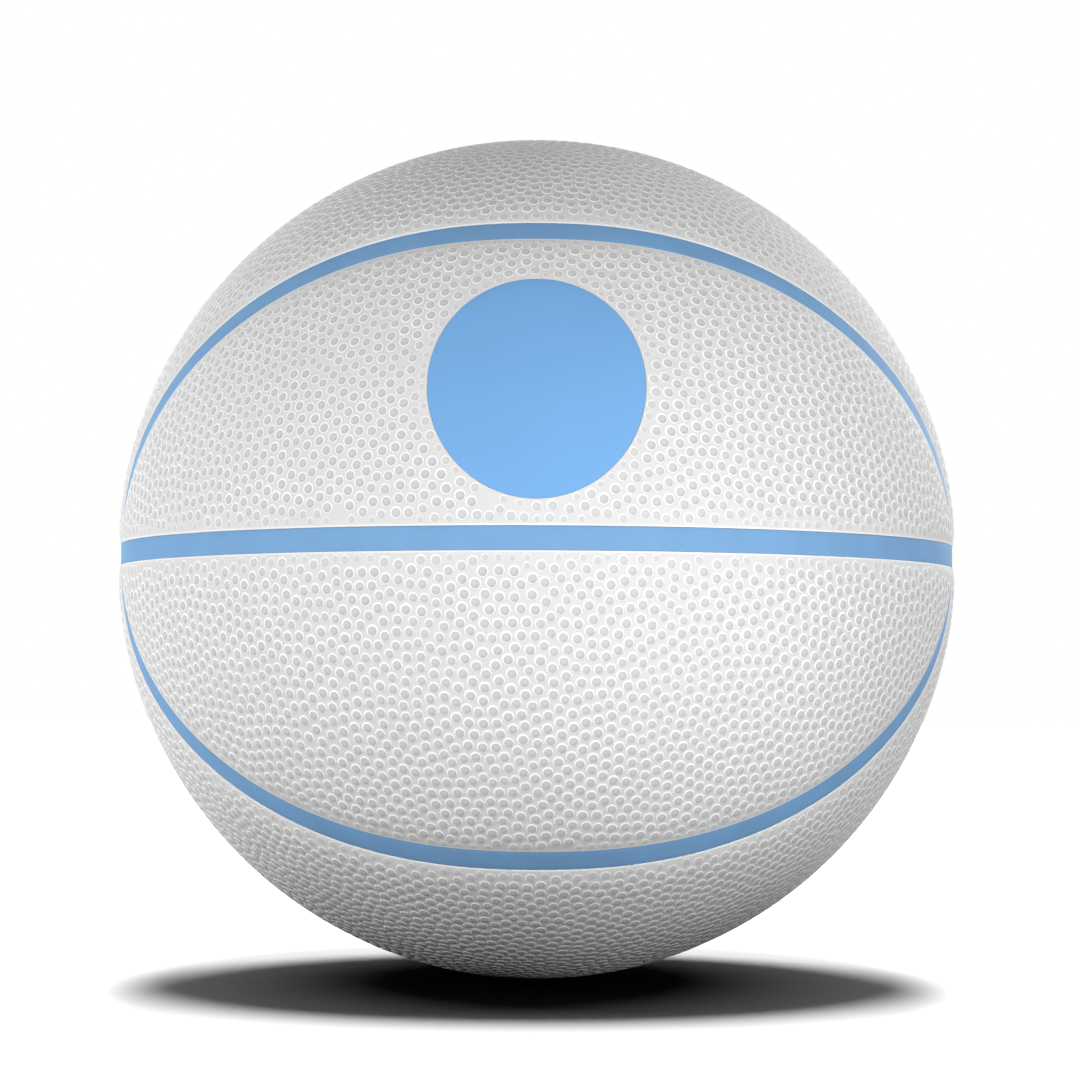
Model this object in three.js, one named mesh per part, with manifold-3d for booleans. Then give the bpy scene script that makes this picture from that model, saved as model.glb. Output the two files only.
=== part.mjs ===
// Full-size basketball: bladder, winding and carcass under eight cover panels, their seam ribs,
// a smooth badge and a needle valve.
// Millimetres, +Z up, origin at the ball's centre, the badge side towards -Y.

import * as THREE from "three";
import { mergeVertices } from "three/addons/utils/BufferGeometryUtils.js";
import Module from "manifold-3d";

// Cover, sized for a circumference of 760 mm over the crowns of the panels
const CROWN_RADIUS = 121;
const COVER_THICKNESS = 2.0;
const EDGE_DROP = 0.75;
const EDGE_ROLL = 9;

// Seams: one level rib, one upright rib, and an oval rib at the front and at the rear
const RIB_WIDTH = 6.2;
const OVAL_RIB_WIDTH = 7.0;
const RIB_SINK = 0.15;
const SEAM_GAP = 0.3;
const OVAL_REACH = THREE.MathUtils.degToRad(80);
const OVAL_RISE = THREE.MathUtils.degToRad(43.5);
const OVAL_FULLNESS = 2.35;

// Layers under the cover, each a shell with the valve's hole in it
const CARCASS_WALL = 0.7;
const WINDING_WALL = 0.45;
const BLADDER_WALL = 0.7;
const LAYER_GAP = 0.3;

// Badge: a smooth disc let into the front upper lens panel, taller than wide so that it looks round
// from the front
const BADGE_WIDTH = 56.4;
const BADGE_HEIGHT = 62.6;
const BADGE_THICKNESS = 0.7;
const BADGE_SINK = 0.15;
const BADGE_LATITUDE = THREE.MathUtils.degToRad(19.5);

// Valve: a moulded seat in the bladder, with a rubber core that pulls out along its axis
const VALVE_LATITUDE = THREE.MathUtils.degToRad(23);
const VALVE_NECK_DIAMETER = 8;
const VALVE_BORE_DIAMETER = 4.6;
const VALVE_CORE_CLEARANCE = 0.15;
const VALVE_SINK = 0.3;
const VALVE_FLANGE_DIAMETER = 18;
const VALVE_FLANGE_THICKNESS = 1.4;
const VALVE_STEM_DEPTH = 12;
const VALVE_FLOOR = 2;
const NEEDLE_GUIDE_DIAMETER = 1.8;
const NEEDLE_GUIDE_DEPTH = 6;

// How finely round shapes are cut into facets
const PANEL_STEPS = 26;
const CROWN_STEPS = 4;
const RIB_STEPS = 36;
const RING_STEPS = 60;
const ROUND_STEPS = 24;
const BADGE_STEPS = 32;
const BADGE_RINGS = 4;
const SHELL_DETAIL = 4;
const OVAL_SAMPLES = 240;

// Radii and angles that follow from the sizes above
const COVER_INSIDE = CROWN_RADIUS - COVER_THICKNESS;
const RIB_TOP = CROWN_RADIUS - EDGE_DROP - RIB_SINK;
const RIB_HALF = RIB_WIDTH / 2 / RIB_TOP;
const PANEL_EDGE = (RIB_WIDTH / 2 + SEAM_GAP) / RIB_TOP;
const OVAL_RIB_HALF = OVAL_RIB_WIDTH / 2 / RIB_TOP;
const OVAL_PANEL_EDGE = (OVAL_RIB_WIDTH / 2 + SEAM_GAP) / RIB_TOP;

const wasm = await Module();
wasm.setup();

const material = (color, roughness) => new THREE.MeshStandardMaterial({ color, roughness, metalness: 0 });
const coverRubber = material(0xe6e6e6, 0.55);
const ribRubber = material(0x7db0e2, 0.45);
const badgeInk = material(0x7eb5ec, 0.4);
const carcassRubber = material(0x2c2c2e, 0.7);
const windingYarn = material(0xcfc9b8, 0.85);
const bladderRubber = material(0x1d1d1f, 0.5);
const valveRubber = material(0xd9d9d6, 0.5);

// A geometry with only its positions, its touching corners joined and its empty triangles taken out.
function joined(geometry) {
  const bare = geometry.clone();
  bare.deleteAttribute("normal");
  bare.deleteAttribute("uv");
  const merged = mergeVertices(bare, 1e-3);
  const kept = [];
  const index = merged.index.array;
  for (let i = 0; i < index.length; i += 3) {
    const [a, b, c] = [index[i], index[i + 1], index[i + 2]];
    if (a !== b && b !== c && c !== a) kept.push(a, b, c);
  }
  merged.setIndex(kept);
  return merged;
}

function toManifold(geometry) {
  const merged = joined(geometry);
  return new wasm.Manifold(
    new wasm.Mesh({
      numProp: 3,
      vertProperties: new Float32Array(merged.attributes.position.array),
      triVerts: new Uint32Array(merged.index.array),
    }),
  );
}

function toGeometry(manifold) {
  const mesh = manifold.getMesh();
  const geometry = new THREE.BufferGeometry();
  geometry.setAttribute("position", new THREE.BufferAttribute(mesh.vertProperties, 3));
  geometry.setIndex(Array.from(mesh.triVerts));
  return geometry;
}

// Unit vector at a longitude, counted from the front towards +X, and a latitude above the level rib.
function direction(longitude, latitude) {
  return new THREE.Vector3(
    Math.sin(longitude) * Math.cos(latitude),
    -Math.cos(longitude) * Math.cos(latitude),
    Math.sin(latitude),
  );
}

// Centre line of the front oval's upper half. The turn runs from one end, over the top, to the other.
function ovalPoint(turn) {
  const longitude = OVAL_REACH * Math.sin(turn);
  const share = Math.abs(Math.sin(longitude) / Math.sin(OVAL_REACH));
  const rise = Math.sqrt(Math.max(0, 1 - share ** OVAL_FULLNESS));
  return direction(longitude, Math.atan(Math.tan(OVAL_RISE) * rise));
}

// A point beside the oval's centre line, at an angle away from the oval's middle.
function ovalOffset(turn, offset) {
  const nudge = 1e-4;
  const point = ovalPoint(turn);
  const along = ovalPoint(turn + nudge).sub(ovalPoint(turn - nudge));
  const outward = point.clone().cross(along).normalize();
  return point.multiplyScalar(Math.cos(offset)).addScaledVector(outward, Math.sin(offset));
}

// The turn at which a line beside the oval comes down to the edge of the level rib's seam.
function turnAtLevelSeam(offset) {
  let high = 0;
  let low = Math.PI / 2;
  for (let i = 0; i < 40; i += 1) {
    const middle = (high + low) / 2;
    if (Math.asin(ovalOffset(middle, offset).z) > PANEL_EDGE) high = middle;
    else low = middle;
  }
  return high;
}

function ovalEdge(offset, steps) {
  const end = turnAtLevelSeam(offset);
  return Array.from({ length: steps + 1 }, (_, i) => ovalOffset(end * ((2 * i) / steps - 1), offset));
}

// A line beside the upright rib, over the top from one level seam to the other, at shares of its length.
function uprightEdge(offset, shares) {
  const end = Math.acos(Math.sin(PANEL_EDGE) / Math.cos(offset));
  return shares.map((share) => {
    const turn = end * (2 * share - 1);
    return new THREE.Vector3(
      Math.cos(offset) * Math.sin(turn),
      Math.sin(offset),
      Math.cos(offset) * Math.cos(turn),
    );
  });
}

// How far along an edge each of its points lies, from 0 to 1.
function lengthShares(edge) {
  const lengths = [0];
  for (let i = 1; i < edge.length; i += 1) lengths.push(lengths[i - 1] + edge[i - 1].angleTo(edge[i]));
  return lengths.map((length) => length / lengths.at(-1));
}

function evenShares(steps) {
  return Array.from({ length: steps + 1 }, (_, i) => i / steps);
}

// A point on the great circle from one unit vector to another.
function between(first, second, share) {
  const angle = first.angleTo(second);
  if (angle < 1e-9) return first.clone();
  return first
    .clone()
    .multiplyScalar(Math.sin((1 - share) * angle) / Math.sin(angle))
    .addScaledVector(second, Math.sin(share * angle) / Math.sin(angle));
}

// Closed slab of the cover between two edge lines, the second above the first as seen from outside.
// crossShares gives the places of its facets across, and outerRadius the height of its outer face.
function slab(firstEdge, secondEdge, crossShares, outerRadius, isRing = false) {
  const rows = firstEdge.map((first, i) => {
    const second = secondEdge[i];
    return crossShares(first.angleTo(second) * COVER_INSIDE).map((share) => between(first, second, share));
  });
  const columns = rows[0].length;
  const positions = [];
  for (const row of rows) {
    for (const point of row) positions.push(...point.clone().multiplyScalar(outerRadius(point)).toArray());
    for (const point of row) positions.push(...point.clone().multiplyScalar(COVER_INSIDE).toArray());
  }
  const index = [];
  const quad = (a, b, c, d) => index.push(a, b, c, a, c, d);
  const outer = (i, j) => (i % rows.length) * columns * 2 + j;
  const inner = (i, j) => outer(i, j) + columns;
  const spans = isRing ? rows.length : rows.length - 1;
  const last = columns - 1;
  for (let i = 0; i < spans; i += 1) {
    for (let j = 0; j < last; j += 1) {
      quad(outer(i, j), outer(i + 1, j), outer(i + 1, j + 1), outer(i, j + 1));
      quad(inner(i, j), inner(i, j + 1), inner(i + 1, j + 1), inner(i + 1, j));
    }
    quad(inner(i, 0), inner(i + 1, 0), outer(i + 1, 0), outer(i, 0));
    quad(outer(i, last), outer(i + 1, last), inner(i + 1, last), inner(i, last));
  }
  for (let j = 0; j < last && !isRing; j += 1) {
    quad(inner(0, j), outer(0, j), outer(0, j + 1), inner(0, j + 1));
    quad(outer(spans, j), inner(spans, j), inner(spans, j + 1), outer(spans, j + 1));
  }
  const geometry = new THREE.BufferGeometry();
  geometry.setAttribute("position", new THREE.Float32BufferAttribute(positions, 3));
  geometry.setIndex(index);
  return joined(geometry);
}

// Height of a panel's outer face: full at the crown, rolling down towards the nearest seam.
const ovalLine = evenShares(OVAL_SAMPLES).map((share) => ovalPoint(Math.PI * (share - 0.5)));

function panelRadius(point) {
  const toOval = Math.min(...ovalLine.map((sample) => sample.angleTo(point))) - OVAL_PANEL_EDGE;
  const toLevel = Math.abs(Math.asin(point.z)) - PANEL_EDGE;
  const toUpright = Math.abs(Math.asin(point.y)) - PANEL_EDGE;
  const toEdge = Math.min(toOval, toLevel, toUpright) * RIB_TOP;
  const nearness = 1 - THREE.MathUtils.clamp(toEdge / EDGE_ROLL, 0, 1);
  return CROWN_RADIUS - EDGE_DROP * nearness * nearness;
}

// Facets across a panel: close together where the edges roll down, even over the crown.
function panelCrossShares(length) {
  const roll = Math.min(EDGE_ROLL / Math.max(length, 1e-6), 0.3);
  const crown = evenShares(CROWN_STEPS).map((share) => roll + share * (1 - 2 * roll));
  return [0, roll / 3, ...crown, 1 - roll / 3, 1];
}

// Lens panel between the level rib and the oval rib, front upper quarter.
function lensPanel() {
  const top = ovalEdge(-OVAL_PANEL_EDGE, PANEL_STEPS);
  const corner = Math.atan2(top.at(-1).x, -top.at(-1).y);
  const foot = lengthShares(top).map((share) => direction(corner * (2 * share - 1), PANEL_EDGE));
  return slab(foot, top, panelCrossShares, panelRadius);
}

// Crescent panel between the oval rib and the upright rib, front upper quarter.
function crescentPanel() {
  const near = ovalEdge(OVAL_PANEL_EDGE, PANEL_STEPS);
  const far = uprightEdge(-PANEL_EDGE, lengthShares(near));
  return slab(near, far, panelCrossShares, panelRadius);
}

const ribCrossShares = () => [0, 1];
const ribRadius = () => RIB_TOP;

function levelRib() {
  const line = (latitude) =>
    Array.from({ length: RING_STEPS }, (_, i) => direction((2 * Math.PI * i) / RING_STEPS, latitude));
  return slab(line(-RIB_HALF), line(RIB_HALF), ribCrossShares, ribRadius, true);
}

function uprightRib() {
  const shares = evenShares(RIB_STEPS);
  return slab(uprightEdge(-RIB_HALF, shares), uprightEdge(RIB_HALF, shares), ribCrossShares, ribRadius);
}

function ovalRib() {
  const inside = ovalEdge(-OVAL_RIB_HALF, RIB_STEPS);
  const outside = ovalEdge(OVAL_RIB_HALF, RIB_STEPS);
  return slab(inside, outside, ribCrossShares, ribRadius);
}

// Turns a shape made about +Y so that it stands on an axis through the ball's centre.
function alongAxis(geometry, axis) {
  const turn = new THREE.Quaternion().setFromUnitVectors(new THREE.Vector3(0, 1, 0), axis);
  return geometry.applyQuaternion(turn);
}

function lathe(profile, axis, steps) {
  const points = profile.map(([radius, height]) => new THREE.Vector2(radius, height));
  return alongAxis(new THREE.LatheGeometry(points, steps), axis);
}

// Oval disc that follows the ball between two radii. Its width and height are measured along the ball.
function sphericalDisc(width, height, insideRadius, outsideRadius, axis) {
  const shares = evenShares(BADGE_RINGS);
  const inside = shares.map((share) => new THREE.Vector2(share, insideRadius));
  const outside = shares.map((share) => new THREE.Vector2(share, outsideRadius));
  const disc = new THREE.LatheGeometry([...inside, ...outside.reverse()], BADGE_STEPS);
  const sideways = new THREE.Vector3(0, 0, 1).cross(axis).normalize();
  const downwards = sideways.clone().cross(axis);
  const position = disc.attributes.position;
  for (let i = 0; i < position.count; i += 1) {
    const across = (position.getX(i) * width) / 2 / CROWN_RADIUS;
    const down = (position.getZ(i) * height) / 2 / CROWN_RADIUS;
    const reach = Math.max(Math.hypot(across, down), 1e-9);
    const point = axis
      .clone()
      .multiplyScalar(Math.cos(reach))
      .addScaledVector(sideways, (across * Math.sin(reach)) / reach)
      .addScaledVector(downwards, (down * Math.sin(reach)) / reach)
      .multiplyScalar(position.getY(i));
    position.setXYZ(i, point.x, point.y, point.z);
  }
  return disc;
}

const badgeAxis = direction(0, BADGE_LATITUDE);
const badgeTop = CROWN_RADIUS - BADGE_SINK;
const badgeFoot = badgeTop - BADGE_THICKNESS;

function badge() {
  return joined(sphericalDisc(BADGE_WIDTH, BADGE_HEIGHT, badgeFoot, badgeTop, badgeAxis));
}

function badgeRecess() {
  const width = BADGE_WIDTH + 2 * SEAM_GAP;
  const height = BADGE_HEIGHT + 2 * SEAM_GAP;
  const clearOfCover = CROWN_RADIUS + COVER_THICKNESS;
  return sphericalDisc(width, height, badgeFoot - LAYER_GAP, clearOfCover, badgeAxis);
}

// The hole that the valve's neck fills, from the ball's centre outwards.
function valveHole(axis) {
  const radius = VALVE_NECK_DIAMETER / 2 + SEAM_GAP;
  const hole = new THREE.CylinderGeometry(radius, radius, 2 * CROWN_RADIUS, ROUND_STEPS);
  return alongAxis(hole.translate(0, CROWN_RADIUS, 0), axis);
}

function cut(geometry, tool) {
  return toGeometry(toManifold(geometry).subtract(toManifold(tool)));
}

const valveAxis = direction(Math.PI, VALVE_LATITUDE);

const lens = lensPanel();
const crescent = crescentPanel();
const oval = ovalRib();
const level = levelRib();
const upright = uprightRib();

// Distance from the ball's centre to the nearest facet of a shape that lies across the ball's radius.
function facetRadius(geometry) {
  const corners = geometry.index ? geometry.toNonIndexed() : geometry;
  const facet = new THREE.Triangle();
  const centre = new THREE.Vector3();
  const normal = new THREE.Vector3();
  const foot = new THREE.Vector3();
  let nearest = Infinity;
  for (let i = 0; i < corners.attributes.position.count; i += 3) {
    facet.setFromAttributeAndIndices(corners.attributes.position, i, i + 1, i + 2);
    facet.getNormal(normal);
    facet.closestPointToPoint(centre, foot);
    const reach = foot.length();
    if (Math.abs(normal.dot(foot)) > reach * Math.SQRT1_2) nearest = Math.min(nearest, reach);
  }
  return nearest;
}

// The layers follow one another inwards from the cover's inner facets.
const carcassRadius = Math.min(...[lens, crescent, oval, level, upright].map(facetRadius)) - LAYER_GAP;
const windingRadius = carcassRadius - CARCASS_WALL - LAYER_GAP;
const bladderRadius = windingRadius - WINDING_WALL - LAYER_GAP;

function shell(radius, wall) {
  const outside = new THREE.IcosahedronGeometry(radius, SHELL_DETAIL);
  const inside = new THREE.IcosahedronGeometry(radius - wall, SHELL_DETAIL);
  return cut(cut(outside, inside), valveHole(valveAxis));
}

// Heights along the valve's axis. The flange lies against the bladder's inner facets.
const flangeReach = VALVE_FLANGE_DIAMETER / 2;
const bladderInside = facetRadius(new THREE.IcosahedronGeometry(bladderRadius - BLADDER_WALL, SHELL_DETAIL));
const flangeTop = Math.sqrt((bladderInside - LAYER_GAP) ** 2 - flangeReach ** 2);
const flangeFoot = flangeTop - VALVE_FLANGE_THICKNESS;
const boreFloor = flangeFoot - VALVE_STEM_DEPTH + VALVE_FLOOR;
const valveTop = CROWN_RADIUS - VALVE_SINK;

function valveSeat() {
  const neck = VALVE_NECK_DIAMETER / 2;
  const bore = VALVE_BORE_DIAMETER / 2;
  const profile = [
    [0, boreFloor - VALVE_FLOOR],
    [neck, boreFloor - VALVE_FLOOR],
    [neck, flangeFoot],
    [flangeReach, flangeFoot],
    [flangeReach, flangeTop],
    [neck, flangeTop],
    [neck, valveTop],
    [bore, valveTop],
    [bore, boreFloor],
    [0, boreFloor],
  ];
  return joined(lathe(profile, valveAxis, ROUND_STEPS));
}

function valveCore() {
  const plug = VALVE_BORE_DIAMETER / 2 - VALVE_CORE_CLEARANCE;
  const guide = NEEDLE_GUIDE_DIAMETER / 2;
  const top = valveTop - VALVE_CORE_CLEARANCE;
  const profile = [
    [0, boreFloor + LAYER_GAP],
    [plug, boreFloor + LAYER_GAP],
    [plug, top],
    [guide, top],
    [guide, top - NEEDLE_GUIDE_DEPTH],
    [0, top - NEEDLE_GUIDE_DEPTH],
  ];
  return joined(lathe(profile, valveAxis, ROUND_STEPS));
}

function named(name, geometry, surface) {
  const mesh = new THREE.Mesh(geometry, surface);
  mesh.name = name;
  return mesh;
}

// Half turns that carry the front upper quarter's shapes to the other three quarters.
const quarters = [
  { name: "front_upper", turn: [0, 0, 0] },
  { name: "front_lower", turn: [0, Math.PI, 0] },
  { name: "rear_upper", turn: [0, 0, Math.PI] },
  { name: "rear_lower", turn: [Math.PI, 0, 0] },
];

const ball = new THREE.Group();
ball.name = "basketball";

const cover = new THREE.Group();
const cutLens = {
  front_upper: cut(lens, badgeRecess()),
  rear_upper: cut(lens, valveHole(direction(0, VALVE_LATITUDE))),
};
for (const { name, turn } of quarters) {
  const quarter = new THREE.Group();
  quarter.rotation.set(...turn);
  quarter.add(named(`lens_panel_${name}`, cutLens[name] ?? lens, coverRubber));
  quarter.add(named(`crescent_panel_${name}`, crescent, coverRubber));
  quarter.add(named(`oval_rib_${name}`, oval, ribRubber));
  cover.add(quarter);
}
cover.add(named("level_rib", level, ribRubber));
cover.add(named("upright_rib_upper", upright, ribRubber));
const lowerUpright = named("upright_rib_lower", upright, ribRubber);
lowerUpright.rotation.x = Math.PI;
cover.add(lowerUpright);
cover.add(named("badge", badge(), badgeInk));

const layers = new THREE.Group();
layers.add(named("carcass", shell(carcassRadius, CARCASS_WALL), carcassRubber));
layers.add(named("winding_layer", shell(windingRadius, WINDING_WALL), windingYarn));
layers.add(named("bladder", shell(bladderRadius, BLADDER_WALL), bladderRubber));

const valve = new THREE.Group();
valve.add(named("valve_seat", valveSeat(), valveRubber));
valve.add(named("valve_core", valveCore(), bladderRubber));

ball.add(cover, layers, valve);

export default ball;
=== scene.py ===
"""Looks of a pebbled rubber basketball, built around its packed solids.

Metres, +Z up, origin at the ball's centre, the badge towards -Y.
"""

import math

import bpy
import numpy as np
from bpy.props import FloatProperty, FloatVectorProperty, IntProperty, PointerProperty
from bpy.types import Operator, Panel, PropertyGroup
from mathutils import Matrix, Vector
from mathutils.geometry import delaunay_2d_cdt


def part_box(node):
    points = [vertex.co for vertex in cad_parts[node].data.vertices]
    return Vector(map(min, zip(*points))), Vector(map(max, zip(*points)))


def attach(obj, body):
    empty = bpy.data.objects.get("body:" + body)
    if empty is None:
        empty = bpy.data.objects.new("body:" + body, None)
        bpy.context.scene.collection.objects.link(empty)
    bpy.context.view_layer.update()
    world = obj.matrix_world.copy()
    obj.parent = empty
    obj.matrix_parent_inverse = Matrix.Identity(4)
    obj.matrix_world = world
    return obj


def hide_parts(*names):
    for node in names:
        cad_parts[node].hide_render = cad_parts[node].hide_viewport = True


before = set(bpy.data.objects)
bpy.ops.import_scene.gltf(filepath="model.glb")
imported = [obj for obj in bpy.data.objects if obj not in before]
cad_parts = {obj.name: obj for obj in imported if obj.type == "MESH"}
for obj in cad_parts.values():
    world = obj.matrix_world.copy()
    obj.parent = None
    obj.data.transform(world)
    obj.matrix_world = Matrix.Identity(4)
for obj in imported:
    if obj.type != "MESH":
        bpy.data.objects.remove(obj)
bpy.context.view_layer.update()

bl_info = {
    "name": "Pebbled Basketball",
    "version": (1, 0, 0),
    "blender": (4, 5, 0),
    "location": "View3D > Sidebar > Basketball",
    "description": "Builds the pebbled cover, seam ribs, badge and valve of a rubber basketball",
    "category": "Add Mesh",
}

# Each panel draws its own random numbers: the seed of the first panel, and the step to the next one's
FIRST_SEED = 21
SEED_STEP = 10

# One quarter is shaped at the front above the level rib. Half turns, written as signs of X, Y and Z,
# set copies of it in the four places.
QUARTER_TURNS = {
    "front_upper": (1, 1, 1),
    "front_lower": (-1, 1, -1),
    "rear_upper": (-1, -1, 1),
    "rear_lower": (1, -1, -1),
}

# Tones of the cover darken from a pebble's flank, whitened as a painted highlight, over the land between
# the pebbles to the cap and its edge, which is darkened as painted shade on the pebble's steep side
FLANK_HIGHLIGHT_TONE = 0.10
# The lip's lighter tone is a painted highlight along the panel's rounded edge
LIP_HIGHLIGHT_TONE = 0.20
LAND_TONE = 0.40
# The cap's middle is lighter than the cap as a painted highlight
CAP_HIGHLIGHT_TONE = 0.66
CAP_TONE = 0.74
CAP_EDGE_SHADE_TONE = 0.95

# A pebble from its foot to its cap: share of the flank's width, share of the height, and tone on its
# wide side and on its steep side. The wide side's whiter flank is a painted highlight, and the steep side's
# less white flank, greyer foot and darker cap edge are painted shade. The power narrows the part that has
# the steep side's tone.
PEBBLE_ROWS = (
    (1.00, 0.00, 0.42, 0.46),
    (0.72, 0.28, 0.02, 0.12),
    (0.22, 0.90, 0.00, 0.18),
    (0.00, 1.00, CAP_TONE, CAP_EDGE_SHADE_TONE),
)
PAINTED_SHADE_POWER = 1.5

# A panel's lip inside its rounded edge: share of its width, and tone, where the lighter tone is a painted
# highlight
LIP_ROWS = ((0.6, LIP_HIGHLIGHT_TONE), (1.0, LAND_TONE))

# Direction in which the caps lean on every panel. The steep side that it makes takes the pebbles' painted
# shade, and the wide side opposite takes their painted highlight.
PEBBLE_LEAN = np.array([0.5, 0.0, -0.87])

# Pebbles start at random places and push each other apart: random tries; the least room at the start,
# the reach of a push and its strength, as shares of the spacing; and rounds of pushing
SCATTER_TRIES = 200000
FIRST_ROOM = 0.70
PUSH_REACH = 1.25
PUSH_STRENGTH = 0.22
PUSH_ROUNDS = 18

# At first they run past a panel's edge by some spacings, so that they don't line up along it. A pebble
# needs room beside the edge, a share of its radius. Those nearer to the edge than a share of that room
# are dropped, and the next ones move inwards.
EDGE_OVERRUN = 1.5
EDGE_ROOM = 0.66
EDGE_DROPPED = 0.3

# A pebble's foot and height vary. The foot fills at most a share of the way to its neighbour and to the
# lip, and a pebble smaller than a share of the full size is left out. The cap fills at most a share of
# the foot, and its middle stands a little higher than its rim.
FOOT_RANGE = (0.95, 1.04)
HEIGHT_RANGE = (0.85, 1.1)
NEIGHBOUR_SHARE = 0.487
LIP_SHARE = 0.97
SMALLEST_SHARE = 0.6
CAP_SHARE = 0.75
CAP_CROWN = 1.08

# Pebbles fade towards an edge over a width in metres, to shares of their height and contrast
FADE_WIDTH = 0.005
FADED_HEIGHT = 0.35
FADED_CONTRAST = 0.45

# Sharp corners of a moulded edge are rounded in this many steps
ROUNDING_STEPS = 4

# Soft lamps around the ball: azimuth from the front and elevation in degrees, distance, width and
# height in metres, and the level at which each would light a surface at the ball's centre
SOFT_LAMPS = {
    "near_left": (-70, -3, 0.5, 0.25, 0.08, 0.42),
    "near_middle": (-25, -3, 0.5, 0.25, 0.08, 0.08),
    "near_right": (22, -6, 0.45, 0.25, 0.08, 0.54),
    "high_front": (12, 46, 1.6, 0.9, 0.9, 0.185),
    "top": (0, 85, 1.6, 1.0, 1.0, 0.29),
    "far_left": (-95, 8, 1.6, 0.9, 0.5, 0.13),
    "rear_left": (-155, 20, 1.6, 0.9, 0.9, 0.33),
    "rear_right": (140, 20, 1.6, 0.9, 0.9, 0.85),
}

# Far lamps overhead that light the floor alone: tilt to the right and to the rear and the angle that each
# spreads over, in degrees, and its share of the floor's light
FLOOR_LAMPS = {
    "overhead_front": (1, 2, 18, 0.47),
    "overhead_rear": (1, 30, 18, 0.41),
    "overhead_left": (-22, 14, 50, 0.06),
    "overhead_right": (24, 14, 50, 0.06),
}

# Rings of a well's floor, as shares of its radius. The inner face has the same rings under it, with one
# point for each step of theirs.
FLOOR_SHARES = (1, 0.8, 0.6, 0.4, 0.2)
UNDER_FLOOR_STEP = 8


def farthest(node):
    """Greatest distance of a solid's corners from the ball's centre."""
    return max(corner.co.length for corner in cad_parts[node].data.vertices)


def nearest(node):
    """Least distance of a solid's corners from the ball's centre."""
    return min(corner.co.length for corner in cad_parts[node].data.vertices)


def height_of(node):
    """Size of a solid along Z."""
    lowest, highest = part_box(node)
    return highest.z - lowest.z


def length_property(name, description, default):
    """A length that a user may change."""
    return FloatProperty(name=name, description=description, default=default, unit="LENGTH", precision=5)


def angle_property(name, description, degrees):
    """An angle that a user may change."""
    return FloatProperty(name=name, description=description, default=math.radians(degrees), subtype="ANGLE")


def colour_property(name, description, default):
    """A colour that a user may change."""
    return FloatVectorProperty(
        name=name, description=description, default=default, subtype="COLOR", size=3, min=0, max=1
    )


class CoverSizes(PropertyGroup):
    """Sizes of the pebbled cover panels."""

    crown_radius: length_property(
        "Crown radius",
        "Radius of the ball over the middle of a panel, under the pebbles",
        farthest("lens_panel_front_lower"),
    )
    inside_radius: length_property(
        "Inside radius", "Radius of the cover's inner face", nearest("lens_panel_front_lower")
    )
    edge_drop: length_property("Edge drop", "How far a panel sinks from its crown to its edge", 0.00075)
    edge_roll: length_property("Edge roll", "Width of the rounded border in which a panel sinks", 0.009)
    lip_width: length_property("Lip width", "Width of the smooth lip along a panel's edge", 0.0006)
    lip_round: length_property("Lip rounding", "Radius of a panel's rounded edge", 0.00012)
    pebble_spacing: length_property("Pebble spacing", "Mean distance between neighbouring pebbles", 0.0036)
    pebble_radius: length_property("Pebble radius", "Radius of a pebble at its foot", 0.00166)
    cap_radius: length_property("Cap radius", "Radius of a pebble's cap", 0.00116)
    pebble_height: length_property("Pebble height", "Height of a pebble in the middle of a panel", 0.00014)
    pebble_lean: length_property(
        "Pebble lean", "How far a pebble's cap sits off its foot, which widens the flank on one side", 0.0002
    )
    pebble_points: IntProperty(name="Pebble points", description="Points around a pebble", default=10, min=6)


class SeamSizes(PropertyGroup):
    """Sizes of the seam ribs and of the lines that they follow."""

    rib_top: length_property("Rib radius", "Radius of the ball over the ribs", farthest("level_rib"))
    rib_width: length_property("Rib width", "Width of the level and upright ribs", height_of("level_rib"))
    oval_rib_width: length_property(
        "Oval rib width", "Width of the oval ribs, which are a little wider than the others", 0.007
    )
    rib_round: length_property("Rib rounding", "Radius of a rib's rounded edges", 0.00018)
    joint_gap: length_property("Joint gap", "Narrow gap between a rib and a panel", 0.00002)
    oval_reach: angle_property("Oval reach", "Longitude at which the oval ribs meet the level rib", 80)
    oval_rise: angle_property("Oval rise", "Latitude of the oval ribs in the middle", 43.5)
    oval_fullness: FloatProperty(
        name="Oval fullness",
        description="How square the oval's shoulders are: 2 is a plain oval",
        default=2.35,
        min=1.5,
    )


class BadgeSizes(PropertyGroup):
    """Sizes of the badge, which is taller than wide so that it looks round from the front."""

    latitude: angle_property("Latitude", "Angle of the badge's middle above the level rib", 19.5)
    width: length_property("Width", "Width of the badge along the ball", 0.0564)
    height: length_property("Height", "Height of the badge along the ball", 0.0626)
    top_radius: length_property(
        "Top radius",
        "Radius of the ball over the badge, flush with the cover around it",
        farthest("lens_panel_front_lower"),
    )
    foot_radius: length_property("Foot radius", "Radius of the ball under the badge", nearest("badge"))
    gap: length_property("Gap", "Narrow gap around the badge and under it", 0.00002)
    surround: length_property("Surround", "Width of the smooth ring of cover around the badge", 0.0002)


class ValveSizes(PropertyGroup):
    """Sizes of the valve seat and its core."""

    latitude: angle_property("Latitude", "Angle of the valve above the level rib", 23)
    neck_diameter: length_property("Neck diameter", "Diameter of the neck that reaches the cover", 0.008)
    bore_diameter: length_property("Bore diameter", "Diameter of the bore that holds the core", 0.0046)
    flange_diameter: length_property("Flange diameter", "Diameter of the flange inside the bladder", 0.018)
    floor_thickness: length_property("Floor thickness", "Thickness of the rubber under the bore", 0.002)
    core_clearance: length_property("Core clearance", "Gap around the core in its bore", 0.00015)
    needle_diameter: length_property(
        "Needle diameter", "Diameter of the guide for the inflating needle", 0.0018
    )
    needle_depth: length_property("Needle depth", "Depth of the guide for the inflating needle", 0.006)
    rounding: length_property("Rounding", "Radius of the valve's moulded edges", 0.0003)
    surround: length_property("Surround", "Width of the smooth ring of cover around the neck", 0.0022)


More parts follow.
